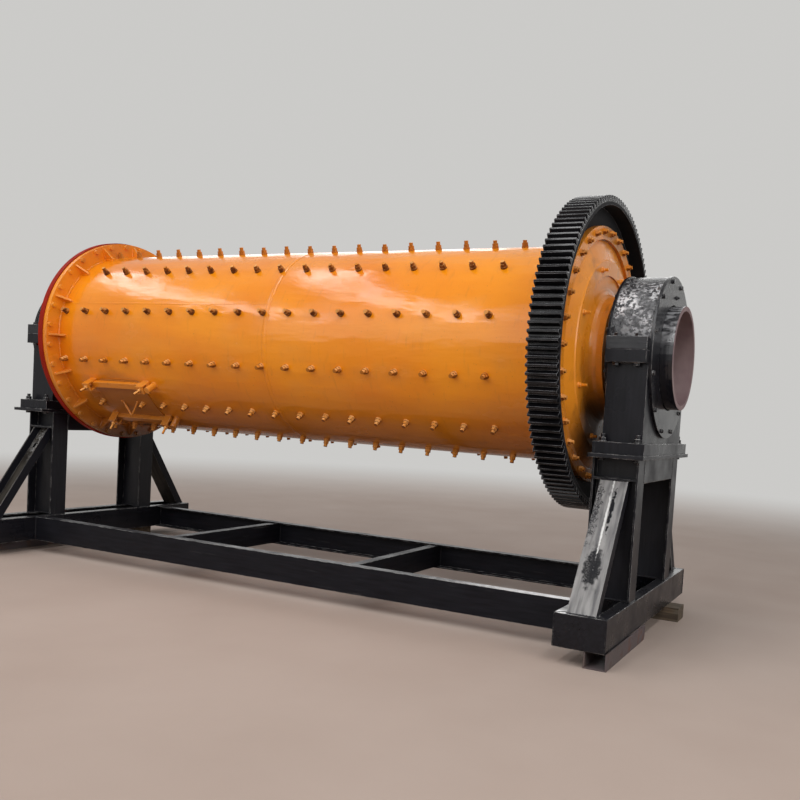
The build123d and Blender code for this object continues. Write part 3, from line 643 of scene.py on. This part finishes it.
seam, seam_angle = hoop(SHELL_SEAM, SEAM_START)
shell_runs = [(seam, off_drum(seam_angle), RING_SEAM)]
for reach, angle in ((-FLANGE_BACK, SEAM_ANGLE), (FLANGE_BACK, SEAM_ANGLE + SEAM_TURN)):
    long_seam = straight(on_drum(reach, angle, SHELL_RADIUS), on_drum(SHELL_SEAM, angle, SHELL_RADIUS))
    shell_runs.append((long_seam, off_drum(angle), LONG_SEAM))
for side, first_gusset in ((-1, FEED_GUSSET), (1, DISCHARGE_GUSSET)):
    ring, ring_angle = hoop(side * FLANGE_BACK, FLANGE_START)
    shell_runs.append((ring, (off_drum(ring_angle) - [side, 0, 0]) / math.sqrt(2), FLANGE_FILLET))
    for gusset in first_gusset + GUSSET_PITCH * np.arange(GUSSETS):
        for face in (-1, 1):
            aside = np.cross([1.0, 0, 0], off_drum(gusset)) * face
            flank = GUSSET_HALF * aside
            root = on_drum(side * FLANGE_BACK, gusset, SHELL_RADIUS + GUSSET_ROOT) + flank
            tip = on_drum(side * FLANGE_BACK, gusset, GUSSET_TIP) + flank
            toe = on_drum(side * GUSSET_TOE, gusset, SHELL_RADIUS + TOE_ROOT) + flank
            shell_runs += [(straight(root, toe), (off_drum(gusset) + aside) / math.sqrt(2), GUSSET_FILLET),
                           (straight(root, tip), unit(*(aside - [side, 0, 0])), GUSSET_FILLET)]
shell_welds = weld_runs("shell_welds", shell_runs, shell_orange, seed=5)
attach(shell_welds, "drum")


# Liner bolts. Twelve rows of bolts hold the liner plates inside the shell, but for those where a
# gusset or the manhole is: each comes out through a washer and has a nut run up on it, sprayed over
# with the shell's orange. Painted highlight makes them pale on their upper faces and edges, and painted
# shade makes them dark below, darker still on the nuts of the two rows above the middle.
def off_axis(tree, place):
    """Distance of the place from the mill axis."""
    split = add(tree, "SeparateXYZ", {0: place})
    rise = worked(tree, "SUBTRACT", split.outputs[2], AXIS_HEIGHT)
    return length(tree, add(tree, "CombineXYZ", {1: split.outputs[1], 2: rise}).outputs[0])


LINER_ROWS, LINER_FIRST, LINER_PITCH, LINER_COLUMNS, LINER_ROW_ANGLE = 12, -2.124, 0.228, 18, 14
MANHOLE_X, MANHOLE_ANGLE = -1.58, -45.5
MANHOLE_CLEAR_X, MANHOLE_CLEAR_ANGLE, GUSSET_CLEAR_ANGLE = 0.10, 20, 3
LINER_BOLT = (0.024, 0.012, 0.0215, 0.022, 0.0145, 0.023)
# lit and shaded copies of the bolt orange, with a dark one for painted shade and a cream one for painted
# highlight
SPRAYED_BOLT, SHADED_BOLT = (0.76, 0.27, 0.030, 1), (0.24, 0.070, 0.010, 1)
ROW_SHADE_BOLT, HIGHLIGHT_CREAM_BOLT = (0.100, 0.027, 0.006, 1), (0.98, 0.54, 0.20, 1)
ROW_SHADE_FOOT, ROW_SHADE_TOP, STUD_FOOT, STUD_FADE = (1.92, 2.02), (2.60, 2.50), 0.784, 0.01
liner_bolt_paint, tree, shader, place = new_finish("liner_bolt_paint")
height = component(tree, place, 2)
above_middle = both(tree, graded(tree, height, *ROW_SHADE_FOOT, least=0.25),
                    graded(tree, height, *ROW_SHADE_TOP, least=0.25))
on_nut = graded(tree, off_axis(tree, place), STUD_FOOT, STUD_FOOT + STUD_FADE, least=1.0, most=0.45)
shade_breakup = between(tree, blotches(tree, place, 0.03, 0.42, 0.60, detail=6), 0.4, 1.0)
# painted shade on the nuts in the two rows above the middle, broken up by noise
row_shade = both(tree, both(tree, above_middle, on_nut), shade_breakup)
# painted light: faces that look down take the shaded copy, faces that look up the lit one
sprayed = over(tree, upward(tree, -0.5, 0.2), SHADED_BOLT, SPRAYED_BOLT)
chalky = blotches(tree, place, 0.09, 0.36, 0.50, detail=5)
edges = between(tree, rubbed_edges(tree, eased(tree, 0.004), 0.01, 0.15), 0.6, 1.0)
# painted highlight: pale cream on the upper edges
painted_highlight = both(tree, upward(tree, -0.2, 0.5), both(tree, chalky, edges))
paint(tree, shader, over(tree, row_shade, over(tree, painted_highlight, sprayed, HIGHLIGHT_CREAM_BOLT), ROW_SHADE_BOLT),
      between(tree, row_shade, 0.8, 0.6), raised(tree, blotches(tree, place, 0.008, 0.3, 0.7), 0.0006))
shader.inputs["Specular IOR Level"].default_value = 0.15
bolt_x, bolt_angle = np.meshgrid(LINER_FIRST + LINER_PITCH * np.arange(LINER_COLUMNS),
                                 LINER_ROW_ANGLE + 360 / LINER_ROWS * np.arange(LINER_ROWS))
bolt_x, bolt_angle = bolt_x.ravel(), bolt_angle.ravel()
from_manhole = np.abs((bolt_angle - MANHOLE_ANGLE + 180) % 360 - 180)
from_gusset = np.abs((bolt_angle - FEED_GUSSET + GUSSET_PITCH / 2) % GUSSET_PITCH - GUSSET_PITCH / 2)
at_manhole = (from_manhole < MANHOLE_CLEAR_ANGLE) & (np.abs(bolt_x - MANHOLE_X) < MANHOLE_CLEAR_X)
at_gusset = (bolt_x == LINER_FIRST) & (from_gusset < GUSSET_CLEAR_ANGLE)
kept = ~at_manhole & ~at_gusset
bolt_x, bolt_angle = bolt_x[kept], bolt_angle[kept]
liner_bolts = fasteners("liner_bolts", on_drum(bolt_x, bolt_angle, SHELL_RADIUS), off_drum(bolt_angle),
                        LINER_BOLT, liner_bolt_paint, seed=11)
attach(liner_bolts, "drum")
dress(["manhole_clamp_bolts"], liner_bolt_paint)


# Manhole fittings. Nuts that press the clamp bars down on the cover, and the welds that hold the
# brackets and posts to the shell and the handle to the cover.
CLAMP_ANGLES, CLAMP_BOLT_X, CLAMP_NUT_RADIUS = (-31.5, -59.5), (-1.879, -1.281), 0.842
BRACKET_HALF, POST_X, POST_RADIUS, POST_TURN, POST_POINTS = 0.034, -1.207, 0.026, 1.02, 26
HANDLE_ENDS, HANDLE_HALF, HANDLE_ANGLE, COVER_TOP = (-0.085, 0.085), 0.013, MANHOLE_ANGLE + 0.6, 0.759
CLAMP_NUT = (0.018, 0.003, 0.0162, 0.015, 0.009, 0.010)
FITTING_FILLET, HANDLE_FILLET = (0.006, 0.006), (0.011, 0.008)
nut_x, nut_angle = (grid.ravel() for grid in np.meshgrid(CLAMP_BOLT_X, CLAMP_ANGLES))
clamp_nuts = fasteners("clamp_nuts", on_drum(nut_x, nut_angle, CLAMP_NUT_RADIUS), off_drum(nut_angle),
                       CLAMP_NUT, liner_bolt_paint, seed=12)
manhole_runs = []
for angle in CLAMP_ANGLES:
    for x in CLAMP_BOLT_X:
        for face in (-1, 1):
            foot = angle + face * math.degrees(BRACKET_HALF / SHELL_RADIUS)
            low, high = (on_drum(x + way * BRACKET_HALF, foot, SHELL_RADIUS) for way in (-1, 1))
            manhole_runs.append((straight(low, high), off_drum(foot), FITTING_FILLET))
    turn = np.linspace(0, 2 * np.pi * POST_TURN, POST_POINTS)
    around = on_drum(POST_X + POST_RADIUS * np.cos(turn),
                     angle + np.degrees(POST_RADIUS * np.sin(turn) / SHELL_RADIUS), SHELL_RADIUS)
    manhole_runs.append((around, off_drum(angle), FITTING_FILLET))
for x in HANDLE_ENDS:
    low, high = (on_drum(MANHOLE_X + x + way * HANDLE_HALF, HANDLE_ANGLE, COVER_TOP) for way in (-1, 1))
    manhole_runs.append((straight(low, high), off_drum(MANHOLE_ANGLE), HANDLE_FILLET))
manhole_welds = weld_runs("manhole_welds", manhole_runs, casting_orange, seed=6)
for piece in (clamp_nuts, manhole_welds):
    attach(piece, "drum")


# Feed head. The same casting as the discharge head at the other end, left in red oxide primer.
# It is turned like the other and bolted to the feed flange.
RED_FRESH = (0.31, 0.012, 0.004, 1)
RED_CHALKY = (0.23, 0.016, 0.007, 1)
red_primer, tree, shader, place = new_finish("red_primer")
chalky = blotches(tree, place, 0.2, 0.35, 0.7)
paint(tree, shader, over(tree, chalky, RED_FRESH, RED_CHALKY), between(tree, chalky, 0.5, 0.75),
      raised(tree, blotches(tree, place, 0.02, 0.3, 0.7), 0.0008))
shader.inputs["Specular IOR Level"].default_value = 0.1
dress(["feed_head"], red_primer)


# Girth gear. A cast steel ring with cut teeth, bolted between the shell's flange and the head. It
# is painted black all over: thick on the flanks, dull inside the rim and rubbed to steel on the
# corners of the teeth, where the steel is partly real wear and partly painted highlight.
GEAR_BLACK, GEAR_SMEAR = (0.0050, 0.0048, 0.0060, 1), (0.012, 0.010, 0.011, 1)
GEAR_STEEL_GLINT, GEAR_ROOT, ROOT_FADE = (0.46, 0.46, 0.48, 1), 1.036, 0.01
gear_black, tree, shader, place = new_finish("gear_black")
rounded = eased(tree, 0.0045)
# steel on the corners of the teeth, partly real wear and partly painted highlight
corners_bare_and_lit = both(tree, rubbed_edges(tree, rounded, 0.02, 0.16),
                    blotches(tree, place, 0.12, 0.36, 0.56, detail=8))
smears = blotches(tree, place, 0.05, 0.5, 0.8, stretch=(5, 1, 1))
coated = over(tree, smears, GEAR_BLACK, GEAR_SMEAR)
dull_inside = graded(tree, off_axis(tree, place), GEAR_ROOT - ROOT_FADE, GEAR_ROOT, least=0.75, most=0.12)
paint(tree, shader, over(tree, between(tree, corners_bare_and_lit, 0.0, 0.7), coated, GEAR_STEEL_GLINT), dull_inside,
      raised(tree, smears, 0.0003, rounded))
shader.inputs["Specular IOR Level"].default_value = 0.25
dress(["girth_gear"], gear_black)


# Flange and head bolts. Thirty-two bolts round each end go through the shell flange and the head,
# with the gear's web between them at the discharge end, and eight longer ones stand on each head's
# raised ring.
FLANGE_BOLT = (0.024, 0.004, 0.0208, 0.019, 0.0120, 0.016)
FLANGE_HEAD = (0.022, 0.003, 0.0208, 0.015, 0.0190, 0.001)
HEAD_BOLT = (0.020, 0.003, 0.0180, 0.015, 0.0100, 0.035)
RING_BOLTS, RING_RADIUS, FEED_TURN = 32, 0.842, -7.2
HEAD_BOLTS, HEAD_RADIUS, HEAD_START = 8, 0.600, 22.5
FEED_FACES, DISCHARGE_FACES = (2.270, 2.299), (2.300, 2.329)
ring_places = 360 / RING_BOLTS * np.arange(RING_BOLTS)
head_places = HEAD_START + 360 / HEAD_BOLTS * np.arange(HEAD_BOLTS)
for end, side, turn, (nut_face, head_face), nut_coat, head_coat in (
        ("feed", -1, FEED_TURN, FEED_FACES, red_primer, red_primer),
        ("discharge", 1, 0.0, DISCHARGE_FACES, liner_bolt_paint, casting_orange)):
    away, back = np.array([float(side), 0, 0]), np.array([-float(side), 0, 0])
    nut_feet = on_drum(side * nut_face, ring_places + turn, RING_RADIUS)
    back_feet = on_drum(side * FLANGE_BACK, ring_places + turn, RING_RADIUS)
    head_feet = on_drum(side * head_face, head_places, HEAD_RADIUS)
    for kind, feet, way, sizes, coat in (("flange_nuts", nut_feet, away, FLANGE_BOLT, nut_coat),
                                         ("flange_heads", back_feet, back, FLANGE_HEAD, casting_orange),
                                         ("head_bolts", head_feet, away, HEAD_BOLT, head_coat)):
        piece = fasteners(f"{end}_{kind}", feet, np.broadcast_to(way, feet.shape), sizes, coat,
                          seed=40 + len(kind))
        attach(piece, "drum")


# Trunnions. Turned hollow steel shafts, seated in the heads: glossy black enamel outside with a
# few silvery patches of painted reflection on top, red-brown primer on the end face and in the bore.
TRUNNION_BORE, TRUNNION_END = 0.317, 2.8675
TRUNNION_BLACK = (0.0100, 0.0100, 0.0135, 1)
BORE_BROWN, BORE_DUSTY = (0.17, 0.105, 0.110, 1), (0.27, 0.195, 0.190, 1)
trunnion_paint, tree, shader, place = new_finish("trunnion_paint")
in_bore = worked(tree, "LESS_THAN", off_axis(tree, place), TRUNNION_BORE)
on_end = worked(tree, "GREATER_THAN", worked(tree, "ABSOLUTE", component(tree, place, 0)), TRUNNION_END)
primed = either(tree, in_bore, on_end)
turning = blotches(tree, place, 0.010, 0.3, 0.7, stretch=(1, 40, 40), detail=5)
# painted reflection: silvery patches on the upper side
reflection_daubs = blotches(tree, place, 0.03, 0.45, 0.6, stretch=(2.5, 1, 1), detail=8)
reflection_daubed = between(tree, both(tree, upward(tree, 0.1, 0.5), reflection_daubs), 0.0, 0.40)
outside = over(tree, reflection_daubed, TRUNNION_BLACK, REFLECTION_SILVER)
bore = over(tree, blotches(tree, place, 0.2, 0.35, 0.75), BORE_BROWN, BORE_DUSTY)
paint(tree, shader, over(tree, primed, outside, bore), between(tree, primed, 0.08, 0.62),
      raised(tree, turning, 0.0003))
dress(["feed_trunnion", "discharge_trunnion"], trunnion_paint)


# Camera. It stands in front of the discharge end, below the axis, and is rolled by a few degrees.
# Its frame is shifted a little sideways and up.
CAMERA_PLACE = (4.0504, -5.6265, 1.4078)
CAMERA_YAW, CAMERA_PITCH, CAMERA_ROLL = (math.radians(a) for a in (-24.1818, 3.1149, 3.7103))
FILM_WIDTH, FOCAL_LENGTH, FRAME_ASIDE, FRAME_UP, FAR_LIMIT = 36, 37.552, -0.11694, 0.07873, 200


def standing(place, *axes):
    """Matrix that stands a thing at a place, turned so that its own axes lie along the three given."""
    turned = Matrix([list(row) for row in np.stack(axes, axis=1).tolist()]).to_4x4()
    turned.translation = place
    return turned


flatly = math.cos(CAMERA_PITCH)
ahead = np.array([math.sin(CAMERA_YAW) * flatly, math.cos(CAMERA_YAW) * flatly, -math.sin(CAMERA_PITCH)])
level = np.array([math.cos(CAMERA_YAW), -math.sin(CAMERA_YAW), 0])
plumb = np.cross(level, ahead)
right = math.cos(CAMERA_ROLL) * level + math.sin(CAMERA_ROLL) * plumb
top = -math.sin(CAMERA_ROLL) * level + math.cos(CAMERA_ROLL) * plumb
lens = bpy.data.cameras.new("camera")
lens.sensor_width, lens.lens, lens.clip_end = FILM_WIDTH, FOCAL_LENGTH, FAR_LIMIT
lens.shift_x, lens.shift_y = FRAME_ASIDE, FRAME_UP
camera = bpy.data.objects.new("camera", lens)
camera.matrix_world = standing(CAMERA_PLACE, right, top, -ahead)
bpy.context.scene.collection.objects.link(camera)
bpy.context.scene.camera = camera
bpy.context.scene.view_settings.view_transform = "Standard"


# Floor. Plain pale concrete, a little mottled, which takes the mill's shadow near by and fades
# into a plain pale surround further off.
FLOOR_HALF, FADE_START, FADE_END = 60, 5.5, 15.0
FLOOR_PALE, FLOOR_TONE = (0.425, 0.338, 0.290, 1), (0.380, 0.296, 0.250, 1)
SURROUND_PALE, SURROUND_LIGHT = (0.60, 0.595, 0.58, 1), 0.07


def mirrored_or_seen(tree):
    """1 for rays from the camera and for those that gloss or glass sends on."""
    path = add(tree, "LightPath")
    seen = either(tree, path.outputs["Is Camera Ray"], path.outputs["Is Glossy Ray"])
    return either(tree, seen, path.outputs["Is Transmission Ray"])


floor_concrete, tree, shader, place = new_finish("floor_concrete")
paint(tree, shader, over(tree, blotches(tree, place, 1.5, 0.3, 0.7), FLOOR_PALE, FLOOR_TONE),
      between(tree, blotches(tree, place, 0.5, 0.3, 0.7), 0.8, 0.9),
      raised(tree, blotches(tree, place, 0.01, 0.3, 0.7), 0.0002))
faded = add(tree, "MapRange", {"Value": length(tree, place), "From Min": FADE_START, "From Max": FADE_END},
            interpolation_type="SMOOTHSTEP").outputs[0]
haze = add(tree, "Emission", {"Color": SURROUND_PALE, "Strength": 1.0})
mixed = add(tree, "MixShader", {0: both(tree, faded, mirrored_or_seen(tree)), 1: shader.outputs[0],
                                2: haze.outputs[0]})
tree.links.new(mixed.outputs[0], tree.nodes["Material Output"].inputs[0])
corners = np.array([[-1, -1, 0], [1, -1, 0], [1, 1, 0], [-1, 1, 0]]) * FLOOR_HALF
floor = surface("floor", corners, [[0, 1, 2, 3]], floor_concrete, smooth=False)

world = bpy.data.worlds.new("surround")
bpy.context.scene.world = world
world.use_nodes = True
tree = world.node_tree
soft = add(tree, "Background", {"Color": (1, 1, 1, 1), "Strength": SURROUND_LIGHT})
pale = add(tree, "Background", {"Color": SURROUND_PALE, "Strength": 1.0})
choice = add(tree, "MixShader", {0: mirrored_or_seen(tree), 1: soft.outputs[0], 2: pale.outputs[0]})
tree.links.new(choice.outputs[0], tree.nodes["World Output"].inputs[0])


# Light. Long soft strips that run across overhead, a broad soft lamp in front, another behind and
# a smaller one off the discharge end.
STRIPS, STRIP_Y, STRIP_AIM_Y, STRIP_HEIGHT = (-7.4, -3.3, 0.8, 4.9), -4.7, -4.6, 7.5
STRIP_SIZE, STRIP_WATTS = (1.0, 9.8), 190


def soft_lamp(name, place, aim, size, watts):
    """Rectangular soft lamp at a place, turned to shine at its aim."""
    light = bpy.data.lights.new(name, "AREA")
    light.shape = "RECTANGLE"
    light.size, light.size_y = size
    light.energy = watts
    made = bpy.data.objects.new(name, light)
    beam = np.array(aim, float) - np.array(place, float)
    beam /= np.linalg.norm(beam)
    wide = np.cross(beam, (0, 0, 1))
    wide /= np.linalg.norm(wide)
    made.matrix_world = standing(place, wide, np.cross(wide, beam), -beam)
    made.visible_camera = False
    bpy.context.scene.collection.objects.link(made)


for number, x in enumerate(STRIPS):
    soft_lamp(f"overhead_strip_{number}", place=(x, STRIP_Y, STRIP_HEIGHT), aim=(x, STRIP_AIM_Y, 0),
              size=STRIP_SIZE, watts=STRIP_WATTS)
soft_lamp("front_lamp", place=(-1, -11, 6.5), aim=(0, 0, 1.7), size=(16, 8), watts=520)
soft_lamp("rear_lamp", place=(-4, 12, 6.5), aim=(0, 0, 1.9), size=(18, 7), watts=700)
soft_lamp("discharge_lamp", place=(9.0, -4.0, 4.5), aim=(2, 0, 1.8), size=(6, 4), watts=300)
